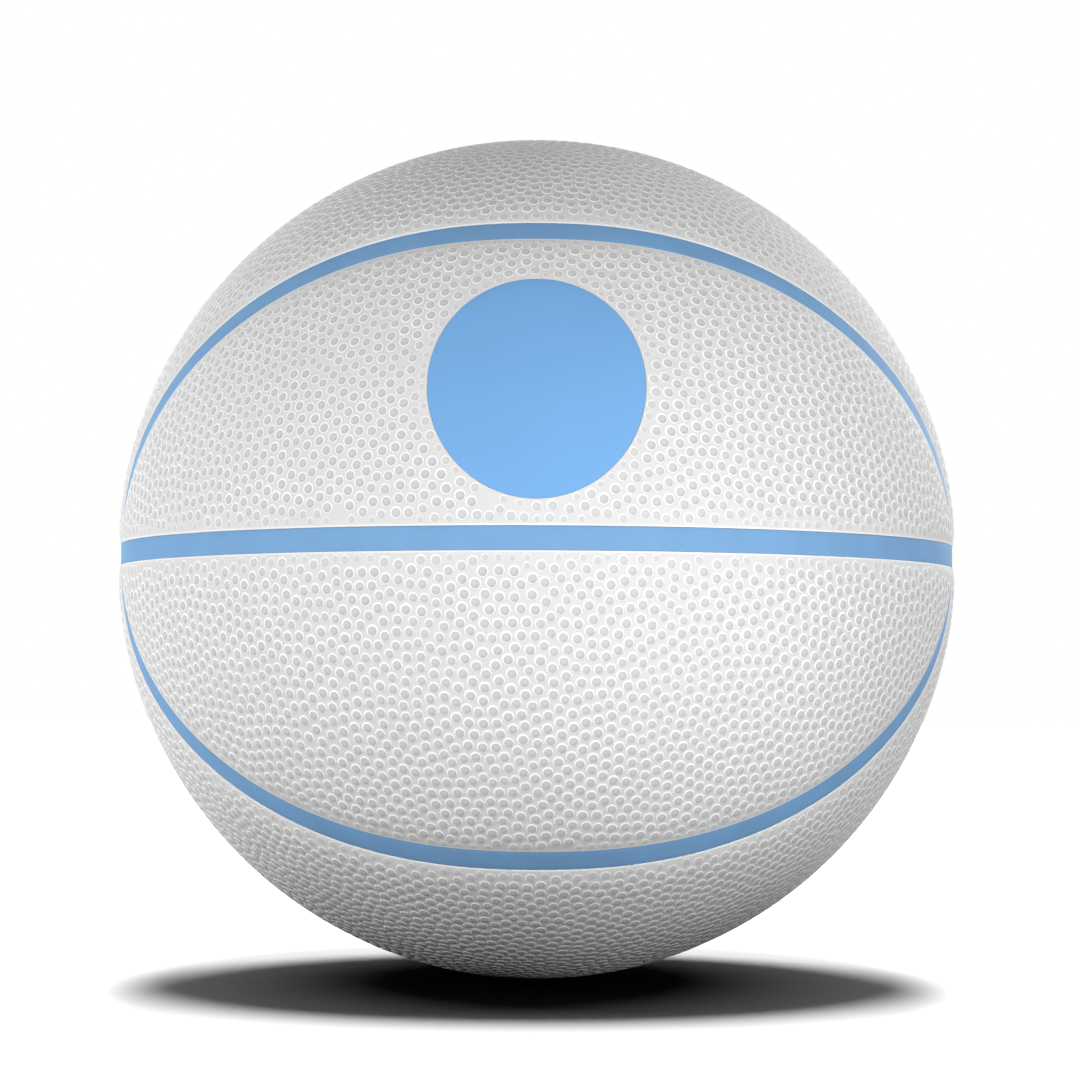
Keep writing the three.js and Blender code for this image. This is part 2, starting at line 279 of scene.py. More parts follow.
class Colours(PropertyGroup):
    """Colours of the rubber parts, in linear light."""

    land: colour_property("Land", "Cover between the pebbles", (0.71, 0.71, 0.71))
    # The flank's whiter colour is a painted highlight on the pebbles
    flank: colour_property("Flank", "Flanks of the pebbles", (0.95, 0.95, 0.95))
    cap: colour_property("Cap", "Caps of the pebbles", (0.59, 0.59, 0.59))
    # The cap edge's darker colour is painted shade on the pebbles' steep side
    cap_edge_shade: colour_property("Cap edge", "Darkened edges of the caps", (0.46, 0.46, 0.46))
    rib: colour_property("Rib", "Seam ribs", (0.190, 0.375, 0.63))
    badge: colour_property("Badge", "Smooth badge", (0.187, 0.410, 0.75))
    valve: colour_property("Valve", "Valve seat", (0.69, 0.69, 0.67))
    core: colour_property("Core", "Valve core", (0.02, 0.02, 0.022))
    carcass: colour_property("Carcass", "Rubber layer under the cover", (0.025, 0.025, 0.027))
    yarn: colour_property("Yarn", "Wound yarn layer", (0.62, 0.58, 0.48))
    bladder: colour_property("Bladder", "Butyl bladder", (0.012, 0.012, 0.014))


class StageSettings(PropertyGroup):
    """Camera, lamps and floor."""

    camera_distance: length_property(
        "Camera distance", "Distance of the camera from the ball's centre", 0.847
    )
    camera_azimuth: angle_property(
        "Camera azimuth", "Turn of the camera about Z from the front, towards +X", 0.1
    )
    camera_elevation: angle_property(
        "Camera elevation", "Angle of the camera above the level rib's plane", -2.53
    )
    camera_roll: angle_property("Camera roll", "Turn of the camera about its own axis", 0.2)
    aim_up: angle_property("Aim up", "Angle by which the camera aims above the ball's centre", 0.373)
    aim_right: angle_property(
        "Aim right", "Angle by which the camera aims right of the ball's centre", 0.063
    )
    lens: FloatProperty(name="Lens", description="Focal length in millimetres", default=96.7)
    lamp_level: FloatProperty(
        name="Lamp level",
        description="Brightness of the soft lamps together, where 1 shows colours as they are written",
        default=1.0,
    )
    ambient: FloatProperty(
        name="Ambient", description="Strength of the even light from all around", default=0.004
    )
    floor_light: FloatProperty(
        name="Floor light",
        description="Strength of the overhead lamps together, which light the floor alone",
        default=7.4,
    )
    floor_colour: colour_property("Floor", "Pale floor", (0.9, 0.9, 0.9))
    floor_bounce: colour_property("Floor bounce", "Floor as it lights the ball", (0.18, 0.18, 0.18))


def unit(vectors):
    """Vectors scaled to length one."""
    return vectors / np.linalg.norm(vectors, axis=-1, keepdims=True)


def direction(longitude, latitude):
    """Unit vectors by longitude, from the front towards +X, and latitude above the level rib."""
    longitude, latitude = np.broadcast_arrays(longitude, latitude)
    return np.stack(
        [
            np.sin(longitude) * np.cos(latitude),
            -np.cos(longitude) * np.cos(latitude),
            np.sin(latitude),
        ],
        axis=-1,
    )


def angle_above(points, axis=2):
    """Angle of each point above the plane square to an axis, which is Z unless another is named."""
    return np.arcsin(np.clip(points[..., axis], -1, 1))


def full_turn(points):
    """Angles of points evenly around a circle."""
    return np.linspace(0, 2 * math.pi, points, endpoint=False)


def corner_arc(radius):
    """Distances of a rounded corner's points from the corner's two sides, from one to the other."""
    for step in range(ROUNDING_STEPS + 1):
        angle = math.pi / 2 * step / ROUNDING_STEPS
        yield radius * (1 - math.cos(angle)), radius * (1 - math.sin(angle))


def add_object(name, data):
    """A new object in the scene."""
    made = bpy.data.objects.new(name, data)
    bpy.context.collection.objects.link(made)
    return made


def tangents(normals):
    """Two unit vectors square to each normal: the first level, the second upwards."""
    level = np.cross(np.array([0.0, 0.0, 1.0]), normals)
    # On the Z axis itself the first one is X
    level = unit(level + np.array([1e-9, 0.0, 0.0]))
    return level, np.cross(normals, level)


def rings_about(axes, angles, points, lean=0.0, stretch=1.0):
    """Rings of directions around axes, each at its own angle from its axis.

    A lean shifts a ring, and a stretch makes it taller than wide.
    """
    level, upward = tangents(axes)
    turn = full_turn(points)
    across = np.cos(turn)[:, None]
    along = np.sin(turn)[:, None] * stretch
    length = np.hypot(across, along)
    spokes = (level[..., None, :] * across + upward[..., None, :] * along) / length
    reach = np.asarray(angles)[..., None, None] * length
    return unit(axes[..., None, :] * np.cos(reach) + spokes * np.sin(reach) + lean)


class Quarter:
    """Seam lines and panel surface of the front upper quarter, as directions from the centre."""

    OVAL_SAMPLES = 721
    CHUNK = 20000
    HALVINGS = 50

    def __init__(self, cover, seams):
        self.crown = cover.crown_radius
        self.edge_drop = cover.edge_drop
        self.edge_roll = cover.edge_roll
        self.radius = seams.rib_top
        self.edge = (seams.rib_width / 2 + seams.joint_gap) / self.radius
        self.oval_rib_edge = (seams.oval_rib_width / 2 + seams.joint_gap) / self.radius
        self.reach = seams.oval_reach
        self.rise = seams.oval_rise
        self.fullness = seams.oval_fullness
        self.oval_line = self.oval(np.linspace(-math.pi / 2, math.pi / 2, self.OVAL_SAMPLES))

    def oval_latitude(self, longitude):
        """Latitude of the oval seam at a longitude."""
        share = np.abs(np.sin(longitude)) / math.sin(self.reach)
        return np.arctan(math.tan(self.rise) * np.sqrt(np.maximum(0, 1 - share**self.fullness)))

    def oval(self, turn):
        """Points of the oval seam, from its left end at -90 degrees to its right end at 90."""
        longitude = self.reach * np.sin(turn)
        return direction(longitude, self.oval_latitude(longitude))

    def beside_oval(self, turn, offset):
        """Points beside the oval seam, outside it where the offset is above zero."""
        step = 1e-4
        along = self.oval(turn + step) - self.oval(turn - step)
        here = self.oval(turn)
        outward = unit(np.cross(here, along))
        return here * math.cos(offset) + outward * math.sin(offset)

    def oval_edge(self, offset, level, count):
        """A line beside the oval seam, left to right, that ends at a latitude near the level seam."""
        low, high = 0.0, math.pi / 2
        for _ in range(self.HALVINGS):
            middle = (low + high) / 2
            above = math.asin(self.beside_oval(np.array(middle), offset)[2]) > level
            low, high = (middle, high) if above else (low, middle)
        return self.beside_oval(np.linspace(-low, low, count), offset)

    def upright_edge(self, offset, level, count):
        """A line in front of the upright seam, left to right, that ends at a latitude."""
        end = math.acos(math.sin(level) / math.cos(offset))
        turn = np.linspace(-end, end, count)
        front = np.full(count, -math.sin(offset))
        return np.stack([math.cos(offset) * np.sin(turn), front, math.cos(offset) * np.cos(turn)], axis=-1)

    def oval_angle(self, points):
        """Angle of each point from the oval seam."""
        flat = points.reshape(-1, 3)
        near = [
            (flat[start : start + self.CHUNK] @ self.oval_line.T).max(axis=1)
            for start in range(0, len(flat), self.CHUNK)
        ]
        return np.arccos(np.clip(np.concatenate(near), -1, 1)).reshape(points.shape[:-1])

    def inside_oval(self, points):
        """Whether each point lies between the level seam and the oval seam."""
        longitude = np.arctan2(points[..., 0], -points[..., 1])
        return (np.abs(longitude) < self.reach) & (angle_above(points) < self.oval_latitude(longitude))

    def past_oval(self, points):
        """Angle of each point outside the oval seam, below zero inside it."""
        away = self.oval_angle(points)
        return np.where(self.inside_oval(points), -away, away)

    def surface(self, points):
        """Radius of the cover without its pebbles: the crown, rolled down beside the seams."""
        to_straight = np.minimum(np.abs(angle_above(points)), np.abs(angle_above(points, 1))) - self.edge
        to_oval = self.oval_angle(points) - self.oval_rib_edge
        to_edge = np.minimum(to_straight, to_oval) * self.radius
        nearness = 1 - np.clip(to_edge / self.edge_roll, 0, 1)
        return self.crown - self.edge_drop * nearness**2


class LensPanel:
    """The panel between the level seam and the oval seam."""

    MIDDLE = direction(0.0, math.radians(22))
    FOOT_POINTS = 220
    TOP_POINTS = 240

    def __init__(self, quarter):
        self.quarter = quarter

    def outline(self, inset):
        """The panel's edge moved inwards by an angle, anticlockwise as seen from outside."""
        edge = self.quarter.edge + inset
        top = self.quarter.oval_edge(-self.quarter.oval_rib_edge - inset, edge, self.TOP_POINTS)
        corner = math.atan2(top[-1][0], -top[-1][1])
        foot = direction(np.linspace(-corner, corner, self.FOOT_POINTS), edge)
        return np.concatenate([foot, top[::-1][1:-1]])

    def depth(self, points):
        """Angle of each point from the panel's edge, below zero outside the panel."""
        to_oval = -self.quarter.past_oval(points) - self.quarter.oval_rib_edge
        return np.minimum(to_oval, angle_above(points) - self.quarter.edge)


class CrescentPanel:
    """The panel between the oval seam and the upright seam."""

    MIDDLE = direction(0.0, math.radians(67))
    NEAR_POINTS = 240
    FAR_POINTS = 250
    END_POINTS = 12

    def __init__(self, quarter):
        self.quarter = quarter

    def outline(self, inset):
        """The panel's edge moved inwards by an angle, anticlockwise as seen from outside."""
        edge = self.quarter.edge + inset
        near = self.quarter.oval_edge(self.quarter.oval_rib_edge + inset, edge, self.NEAR_POINTS)
        far = self.quarter.upright_edge(edge, edge, self.FAR_POINTS)
        start = math.atan2(near[-1][0], -near[-1][1])
        stop = math.atan2(far[-1][0], -far[-1][1])
        right = direction(np.linspace(start, stop, self.END_POINTS), edge)
        left = right[::-1] * np.array([-1.0, 1.0, 1.0])
        return np.concatenate([near, right[1:-1], far[::-1], left[1:-1]])

    def depth(self, points):
        """Angle of each point from the panel's edge, below zero outside the panel."""
        to_oval = self.quarter.past_oval(points) - self.quarter.oval_rib_edge
        to_straight = np.minimum(angle_above(points), -angle_above(points, 1)) - self.quarter.edge
        return np.minimum(to_oval, to_straight)


class Well:
    """A round place in a panel that stays free of pebbles: a recess with a floor, or a hole."""

    RIM_POINTS = 96

    def __init__(self, axis, radius, surround, floor_radius=None, stretch=1.0):
        self.axis = axis
        self.radius = radius
        self.surround = surround
        self.floor_radius = floor_radius
        self.stretch = stretch

    def ring(self, radius, ball_radius):
        """Directions around the well at a radius along the ball."""
        angle = np.array([radius / ball_radius])
        return rings_about(self.axis[None], angle, self.RIM_POINTS, stretch=self.stretch)[0]

    def depth(self, points, ball_radius):
        """Angle of each point from the rim of the smooth ring around the well."""
        away = np.arccos(np.clip(points @ self.axis, -1, 1))
        level, upward = tangents(self.axis[None])
        across = points @ level[0]
        along = points @ upward[0]
        round_share = np.hypot(across, along / self.stretch) / np.maximum(np.hypot(across, along), 1e-9)
        return away - (self.radius + self.surround) / ball_radius / round_share


class Skin:
    """Points, tones and triangles of one closed surface, gathered part by part."""

    SHARP_ANGLE = math.radians(48)
    MERGE_WITHIN = 1e-7

    def __init__(self):
        self.points = []
        self.tones = []
        self.triangles = []
        self.count = 0

    def add(self, points, tone=LAND_TONE):
        """Adds points and returns their numbers in an array of the same shape."""
        shape = points.shape[:-1]
        flat = points.reshape(-1, 3)
        numbers = np.arange(self.count, self.count + len(flat)).reshape(shape)
        self.points.append(flat)
        self.tones.append(np.broadcast_to(tone, shape).reshape(-1))
        self.count += len(flat)
        return numbers

    def face(self, *corners):
        """Adds triangles by arrays of their three corners."""
        self.triangles.append(np.stack(corners, axis=-1).reshape(-1, 3))

    def loops(self, rows):
        """Joins closed rows of equal length, each anticlockwise around the next."""
        for near, far in zip(rows, rows[1:]):
            next_near = np.roll(near, -1, axis=-1)
            next_far = np.roll(far, -1, axis=-1)
            self.face(near, next_near, next_far)
            self.face(near, next_far, far)

    def strips(self, rows):
        """Joins open rows of equal length side by side."""
        for near, far in zip(rows, rows[1:]):
            self.face(near[:-1], near[1:], far[1:])
            self.face(near[:-1], far[1:], far[:-1])

    def fan(self, rim, middle):
        """Closes rims, anticlockwise, with triangles to their middles."""
        self.face(rim, np.roll(rim, -1, axis=-1), np.broadcast_to(middle[..., None], rim.shape))

    def fill(self, middle, outline, holes, loose=None, inward=False):
        """Triangles inside an outline and outside its holes, on a flat chart around a middle."""
        right = np.array([1.0, 0.0, 0.0])
        upward = np.cross(middle, right)
        rings = [outline[None]] + [np.atleast_2d(hole) for hole in holes]
        numbers = np.concatenate([ring.reshape(-1) for ring in rings])
        # The outline and loose points have the number -1, and the holes count from 0
        hole_number = -1
        owner = []
        edges = []
        start = 0
        for ring in rings:
            owner.append(np.repeat(np.arange(hole_number, hole_number + len(ring)), ring.shape[1]))
            spots = np.arange(start, start + ring.size).reshape(ring.shape)
            edges.append(np.stack([spots, np.roll(spots, -1, axis=-1)], axis=-1).reshape(-1, 2))
            hole_number += len(ring)
            start += ring.size
        if loose is not None:
            numbers = np.concatenate([numbers, loose])
            owner.append(np.full(loose.size, -1))
        ways = unit(np.concatenate(self.points)[numbers])
        spread = np.sqrt(2 / (1 + ways @ middle))
        flat = np.stack([ways @ right, ways @ upward], axis=-1) * spread[:, None]
        inside_outline = 1
        made = delaunay_2d_cdt(
            [Vector(spot) for spot in flat.tolist()],
            np.concatenate(edges).tolist(),
            [],
            inside_outline,
            self.MERGE_WITHIN,
        )
        if len(made[0]) != len(numbers):
            raise RuntimeError("the outlines of a panel cross each other")
        source = np.array([origins[0] for origins in made[3]])
        corners = source[np.array(made[2])]
        owners = np.concatenate(owner)[corners]
        in_hole = (owners[:, 0] >= 0) & (owners[:, 0] == owners[:, 1]) & (owners[:, 1] == owners[:, 2])
        triangles = numbers[corners[~in_hole]]
        self.triangles.append(triangles[:, ::-1] if inward else triangles)

    def build(self, name, turn=(1, 1, 1)):
        """Makes the mesh object, turned to its place."""
        points = np.concatenate(self.points) * np.array(turn, float)
        triangles = np.concatenate(self.triangles)
        mesh = bpy.data.meshes.new(name)
        mesh.from_pydata(points, [], triangles)
        tones = mesh.attributes.new("pebble", "FLOAT", "POINT")
        tones.data.foreach_set("value", np.concatenate(self.tones).astype(np.float32))
        mesh.shade_smooth()
        mesh.set_sharp_from_angle(angle=self.SHARP_ANGLE)
        return add_object(name, mesh)


def push_inside(points, depth, margin):
    """Moves points that are nearer to an edge than the margin straight away from it."""
    step = 1e-4
    rounds = 2
    least_steepness = 0.2
    for _ in range(rounds):
        here = depth(points)
        short = here < margin
        if not short.any():
            break
        moved = points[short]
        level, upward = tangents(moved)
        slope_level = (depth(unit(moved + level * step)) - here[short]) / step
        slope_upward = (depth(unit(moved + upward * step)) - here[short]) / step
        climb = level * slope_level[:, None] + upward * slope_upward[:, None]
        steepness = np.maximum(np.linalg.norm(climb, axis=1, keepdims=True), least_steepness)
        points[short] = unit(moved + climb / steepness * (margin - here[short])[:, None])
    return points


def scatter_pebbles(depth, overrun, spacing, seed):
    """Directions of a panel's pebbles: random, then eased apart. The sizes are angles."""
    random = np.random.default_rng(seed)
    tries = unit(random.normal(size=(SCATTER_TRIES, 3)))
    inside = tries[depth(tries) > -overrun]
    share = len(inside) / len(tries)
    wanted = int(share * 4 * math.pi / (math.sqrt(3) / 2 * spacing**2))
    room = math.cos(FIRST_ROOM * spacing)
    points = np.empty((wanted, 3))
    count = 0
    for spot in inside:
        if count and (points[:count] @ spot).max() > room:
            continue
        points[count] = spot
        count += 1
        if count == wanted:
            break
    points = points[:count]
    reach = PUSH_REACH * spacing
    for _ in range(PUSH_ROUNDS):
        close = points @ points.T
        np.fill_diagonal(close, -1)
        one, other = np.nonzero(close > math.cos(reach))
        apart = points[one] - points[other]
        length = np.linalg.norm(apart, axis=1)
        push = apart / length[:, None] * (1 - length / reach)[:, None]
        move = np.stack([np.bincount(one, push[:, axis], len(points)) for axis in range(3)], axis=-1)
        points = push_inside(unit(points + move * PUSH_STRENGTH * spacing), depth, -overrun)
    return points


def add_pebbles(skin, centres, depth, quarter, cover, lean, seed):
    """Adds pebbles with rounded flanks and returns the numbers of their foot rings."""
    random = np.random.default_rng(seed)
    close = centres @ centres.T
    np.fill_diagonal(close, -1)
    neighbour = np.arccos(np.clip(close.max(axis=1), -1, 1)) * cover.crown_radius
    to_edge = depth(centres) * cover.crown_radius
    size = cover.pebble_radius * random.uniform(*FOOT_RANGE, len(centres))
    size = np.minimum(size, NEIGHBOUR_SHARE * neighbour)
    size = np.minimum(size, LIP_SHARE * (to_edge - cover.lip_width))
    kept = size > SMALLEST_SHARE * cover.pebble_radius
    centres, size, to_edge = centres[kept], size[kept], to_edge[kept]
    fade = np.clip(to_edge / FADE_WIDTH, 0, 1) * np.clip(size / cover.pebble_radius, 0, 1)
    height = cover.pebble_height * (FADED_HEIGHT + (1 - FADED_HEIGHT) * fade)
    height = height * random.uniform(*HEIGHT_RANGE, len(centres))
    contrast = FADED_CONTRAST + (1 - FADED_CONTRAST) * fade
    level, upward = tangents(centres)
    lean_level = level @ lean
    lean_upward = upward @ lean
    slant = level * lean_level[:, None] + upward * lean_upward[:, None]
    turn = full_turn(cover.pebble_points)
    # The side towards the lean takes painted shade and the side away from it a painted highlight
    painted_shade_side = 0.5 + 0.5 * (lean_level[:, None] * np.cos(turn) + lean_upward[:, None] * np.sin(turn))
    painted_shade_side = np.clip(painted_shade_side, 0, 1) ** PAINTED_SHADE_POWER
    slant *= (size / cover.pebble_radius)[:, None] * cover.pebble_lean / cover.crown_radius
    cap = np.minimum(cover.cap_radius, CAP_SHARE * size)
    rows = []
    for share, rise, painted_lit_tone, painted_shade_tone in PEBBLE_ROWS:
        reach = (cap + (size - cap) * share) / cover.crown_radius
        ways = rings_about(centres, reach, cover.pebble_points, (slant * rise)[:, None, :])
        radius = quarter.surface(ways) + (height * rise)[:, None]
        tones = painted_lit_tone + (painted_shade_tone - painted_lit_tone) * painted_shade_side
        tones = LAND_TONE + (tones - LAND_TONE) * contrast[:, None]
        rows.append(skin.add(ways * radius[..., None], tones))
    skin.loops(rows)
    tops = unit(centres + slant)
    radius = quarter.surface(tops) + height * CAP_CROWN
    # A painted highlight lightens each cap's middle
    cap_highlight_tones = LAND_TONE + (CAP_HIGHLIGHT_TONE - LAND_TONE) * contrast
    skin.fan(rows[-1], skin.add(tops * radius[:, None], cap_highlight_tones))
    return rows[0]


def add_well(skin, well, quarter, cover):
    """Adds a well's smooth surround, rim and wall, and returns its outer rim and its foot or None."""

    def row(radius, drop=0.0):
        ways = well.ring(radius, cover.crown_radius)
        return skin.add(ways * (quarter.surface(ways) - drop)[:, None])

    def level_row(radius, level):
        return skin.add(well.ring(radius, cover.crown_radius) * level)

    rows = [row(well.radius + well.surround), row(well.radius + well.surround / 2)]
    for drop, outward in corner_arc(cover.lip_round):
        rows.append(row(well.radius + outward, drop))
    if well.floor_radius is None:
        rows.append(level_row(well.radius, cover.inside_radius))
        skin.loops(rows)
        return rows[0], rows[-1]
    for share in FLOOR_SHARES:
        rows.append(level_row(well.radius * share, well.floor_radius))
    skin.loops(rows)
    skin.fan(rows[-1], skin.add(well.axis * well.floor_radius))
    return rows[0], None


def make_panel(name, panel, quarter, cover, turn, seed, well=None):
    """One pebbled cover panel with its lip, edge and inner face, and with its well where it has one."""
    ball = cover.crown_radius

    def depth(points):
        reach = panel.depth(points)
        if well is None:
            return reach
        return np.minimum(reach, well.depth(points, ball) + cover.lip_width / ball)

    skin = Skin()
    rows = [skin.add(panel.outline(0.0) * cover.inside_radius)]
    # The rounded edge and the lip are lightened as a painted highlight
    for inset, drop in corner_arc(cover.lip_round):
        ways = panel.outline(inset / ball)
        rows.append(skin.add(ways * (quarter.surface(ways) - drop)[:, None], LIP_HIGHLIGHT_TONE))
    for share, tone in LIP_ROWS:
        ways = panel.outline(cover.lip_width * share / ball)
        rows.append(skin.add(ways * quarter.surface(ways)[:, None], tone))
    skin.loops(rows)

    overrun = EDGE_OVERRUN * cover.pebble_spacing / ball
    centres = scatter_pebbles(depth, overrun, cover.pebble_spacing / ball, seed)
    beside_edge = (cover.lip_width + cover.pebble_radius * EDGE_ROOM) / ball
    centres = push_inside(centres[depth(centres) > EDGE_DROPPED * beside_edge], depth, beside_edge)
    lean = unit(PEBBLE_LEAN * np.array(turn, float))
    feet = add_pebbles(skin, centres, depth, quarter, cover, lean, seed + 1)
    holes = [feet]
    inner_holes = []
    inner_points = centres[depth(centres) > cover.lip_width / ball]
    if well is not None:
        rim, foot = add_well(skin, well, quarter, cover)
        holes.append(rim)
        if foot is not None:
            inner_holes.append(foot)
        else:
            under_floor = [well.ring(well.radius * share, ball) for share in FLOOR_SHARES]
            inner_points = np.concatenate([inner_points, *(ring[::UNDER_FLOOR_STEP] for ring in under_floor)])
    skin.fill(panel.MIDDLE, rows[-1], holes)
    skin.fill(panel.MIDDLE, rows[0], inner_holes, skin.add(inner_points * cover.inside_radius), inward=True)
    return skin.build(name, turn)


def rib_profile(width, seams, foot_radius):
    """A rib's cross-section from its lower foot over its top: offset angle and radius."""
    half = width / 2
    rising = [(-half, foot_radius)]
    for inset, drop in corner_arc(seams.rib_round):
        rising.append((inset - half, seams.rib_top - drop))
    rising.append((-half / 2, seams.rib_top))
    falling = [(-offset, radius) for offset, radius in reversed(rising)]
    middle = [(0.0, seams.rib_top)]
    return [(offset / seams.rib_top, radius) for offset, radius in rising + middle + falling]


def make_rib(name, line, width, seams, foot_radius, turn=(1, 1, 1), closed=False):
    """A rib along a line, which gives directions at an offset angle from the seam."""
    skin = Skin()
    rows = [skin.add(line(offset) * radius) for offset, radius in rib_profile(width, seams, foot_radius)]
    if closed:
        skin.loops(rows + rows[:1])
        return skin.build(name, turn)
    skin.strips(rows + rows[:1])
    starts = np.array([row[0] for row in rows])
    ends = np.array([row[-1] for row in rows])
    first = np.full(len(rows) - 2, starts[0])
    skin.face(first, starts[1:-1], starts[2:])
    last = np.full(len(rows) - 2, ends[0])
    skin.face(last, ends[2:], ends[1:-1])
    return skin.build(name, turn)


def make_lathe(name, axis, profile, points):
    """A turned piece: closed profile of radius and height along an axis from the ball's centre."""
    skin = Skin()
    level, upward = tangents(axis[None])
    turn = full_turn(points)
    spokes = level * np.cos(turn)[:, None] + upward * np.sin(turn)[:, None]
    rows = [skin.add(axis * height + spokes * radius) for radius, height in profile[1:-1]]
    skin.loops(rows)
    first = skin.add(axis * profile[0][1])
    last = skin.add(axis * profile[-1][1])
    skin.fan(rows[0][::-1], first)
    skin.fan(rows[-1], last)
    return skin.build(name)


def rounded(profile, rounding, corners):
    """A profile whose named corners are rounded by short arcs."""
    made = []
    for place, corner in enumerate(profile):
        if place not in corners:
            made.append(corner)
            continue
        here = np.array(corner)
        before = unit(np.array(profile[place - 1]) - here)
        after = unit(np.array(profile[place + 1]) - here)
        for forward, back in corner_arc(rounding):
            made.append(tuple(here + before * back + after * forward))
    return made


class Value:
    """A shader value. Python's operators on it add Math nodes."""

    def __init__(self, finish, socket):
        self.finish = finish
        self.socket = socket

    def maths(self, operation, first, second):
        """One Math node on two values."""
        node = self.finish.node("ShaderNodeMath", {"operation": operation}, {0: first, 1: second})
        return Value(self.finish, node.outputs[0])

    def __add__(self, other):
        return self.maths("ADD", self, other)

    def __radd__(self, other):
        return self.maths("ADD", other, self)

    def __sub__(self, other):
        return self.maths("SUBTRACT", self, other)

    def __mul__(self, other):
        return self.maths("MULTIPLY", self, other)


class Finish:
    """The nodes of one material or of the world."""

    def __init__(self, owner):
        self.owner = owner
        owner.use_nodes = True
        self.tree = owner.node_tree
        self.tree.nodes.clear()

    @classmethod
    def of_material(cls, name):
        """A finish for a new material."""
        return cls(bpy.data.materials.new(name))

    def node(self, kind, settings=None, sockets=None):
        """Adds a node, sets it, then gives its sockets values or links."""
        node = self.tree.nodes.new(kind)
        for key, setting in (settings or {}).items():
            if key == "stops":
                self.set_stops(node.color_ramp.elements, setting)
            else:
                setattr(node, key, setting)
        for key, value in (sockets or {}).items():
            if isinstance(value, Value):
                value = value.socket
            if isinstance(value, bpy.types.NodeSocket):
                self.tree.links.new(value, node.inputs[key])
            else:
                node.inputs[key].default_value = value
        return node

    @staticmethod
    def set_stops(elements, stops):
        """Places a ramp's colours."""
        while len(elements) < len(stops):
            elements.new(1.0)
        for element, (position, colour) in zip(elements, stops):
            element.position = position
            element.color = (*colour, 1.0)

    def place(self):
        """Each point's place in the ball's own frame."""
        return self.node("ShaderNodeTexCoord").outputs["Object"]

    def noise(self, size, detail=2.0):
        """Soft noise from 0 to 1 with blotches of about a size in metres."""
        node = self.node(
            "ShaderNodeTexNoise", {}, {"Vector": self.place(), "Scale": 1 / size, "Detail": detail}
        )
        return Value(self, node.outputs["Fac"])

    def shaded(self, colour, shade):
        """A colour made lighter or darker by a value."""
        settings = {"data_type": "RGBA", "blend_type": "MULTIPLY"}
        return self.node("ShaderNodeMix", settings, {0: 1.0, 6: colour, 7: shade}).outputs[2]

    def bump(self, height, depth):
        """A normal that follows a height of 0 to 1, with its depth in metres."""
        return self.node("ShaderNodeBump", {}, {"Height": height, "Distance": depth}).outputs["Normal"]

    def rubber(self, colour, roughness, normal, specular=0.03):
        """Ends the material in one rubber surface."""
        surface = self.node(
            "ShaderNodeBsdfPrincipled",
            {},
            {"Base Color": colour, "Roughness": roughness, "Normal": normal, "Specular IOR Level": specular},
        )
        self.node("ShaderNodeOutputMaterial", {}, {"Surface": surface.outputs[0]})
        return self.owner

    def backdrop(self, output, lit, shown):
        """Ends in one shader where the camera, gloss or glass looks and in another for all else."""
        path = self.node("ShaderNodeLightPath").outputs
        looks = Value(self, path["Is Camera Ray"]) + Value(self, path["Is Glossy Ray"])
        looks = looks + Value(self, path["Is Transmission Ray"])
        mixed = self.node("ShaderNodeMixShader", {}, {0: looks, 1: lit.outputs[0], 2: shown.outputs[0]})
        self.node(output, {}, {"Surface": mixed.outputs[0]})


def opaque(colour):
    """A colour with full opacity."""
    return (*colour, 1.0)


def cover_rubber(colours):
    """Moulded white rubber: pale land, pebble flanks whitened as a painted highlight and greyer caps with
    painted shade on their edges, with a fine grain.
    """
    finish = Finish.of_material("cover_rubber")
    pebble = Value(finish, finish.node("ShaderNodeAttribute", {"attribute_name": "pebble"}).outputs["Fac"])
    grain = finish.noise(0.0009)
    mottle = finish.noise(0.009)
    tone = pebble + (grain - 0.5) * 0.50
    # The flank's white is a painted highlight and the cap edge's dark grey is painted shade
    stops = (
        (FLANK_HIGHLIGHT_TONE, colours.flank),
        (LAND_TONE, colours.land),
        (CAP_TONE, colours.cap),
        (CAP_EDGE_SHADE_TONE, colours.cap_edge_shade),
    )
    colour = finish.node("ShaderNodeValToRGB", {"stops": stops}, {"Fac": tone}).outputs["Color"]
    colour = finish.shaded(colour, 0.80 + grain * 0.32 + mottle * 0.06)
    return finish.rubber(colour, 0.55 + grain * 0.16, finish.bump(grain, 0.00005))


def rib_rubber(colours):
    """Smooth blue rubber with soft patches and a faint grain."""
    finish = Finish.of_material("rib_rubber")
    patch = finish.noise(0.012, 3.0)
    grain = finish.noise(0.0008)
    colour = finish.shaded(opaque(colours.rib), 0.86 + patch * 0.20 + grain * 0.08)
    return finish.rubber(colour, 0.56 + grain * 0.14, finish.bump(grain, 0.00002))


def badge_rubber(colours):
    """Even blue ink on a smooth disc."""
    finish = Finish.of_material("badge_rubber")
    patch = finish.noise(0.02)
    grain = finish.noise(0.0007)
    colour = finish.shaded(opaque(colours.badge), 0.95 + patch * 0.06 + grain * 0.04)
    return finish.rubber(colour, 0.46 + grain * 0.12, finish.bump(grain, 0.000015))


def plain_rubber(name, colour, roughness):
    """Moulded rubber with a dusty bloom and a fine grain."""
    finish = Finish.of_material(name)
    bloom = finish.noise(0.004, 4.0)
    grain = finish.noise(0.0005)
    shade = finish.shaded(opaque(colour), 0.80 + bloom * 0.40)
    return finish.rubber(shade, roughness + grain * 0.15, finish.bump(grain, 0.00003))


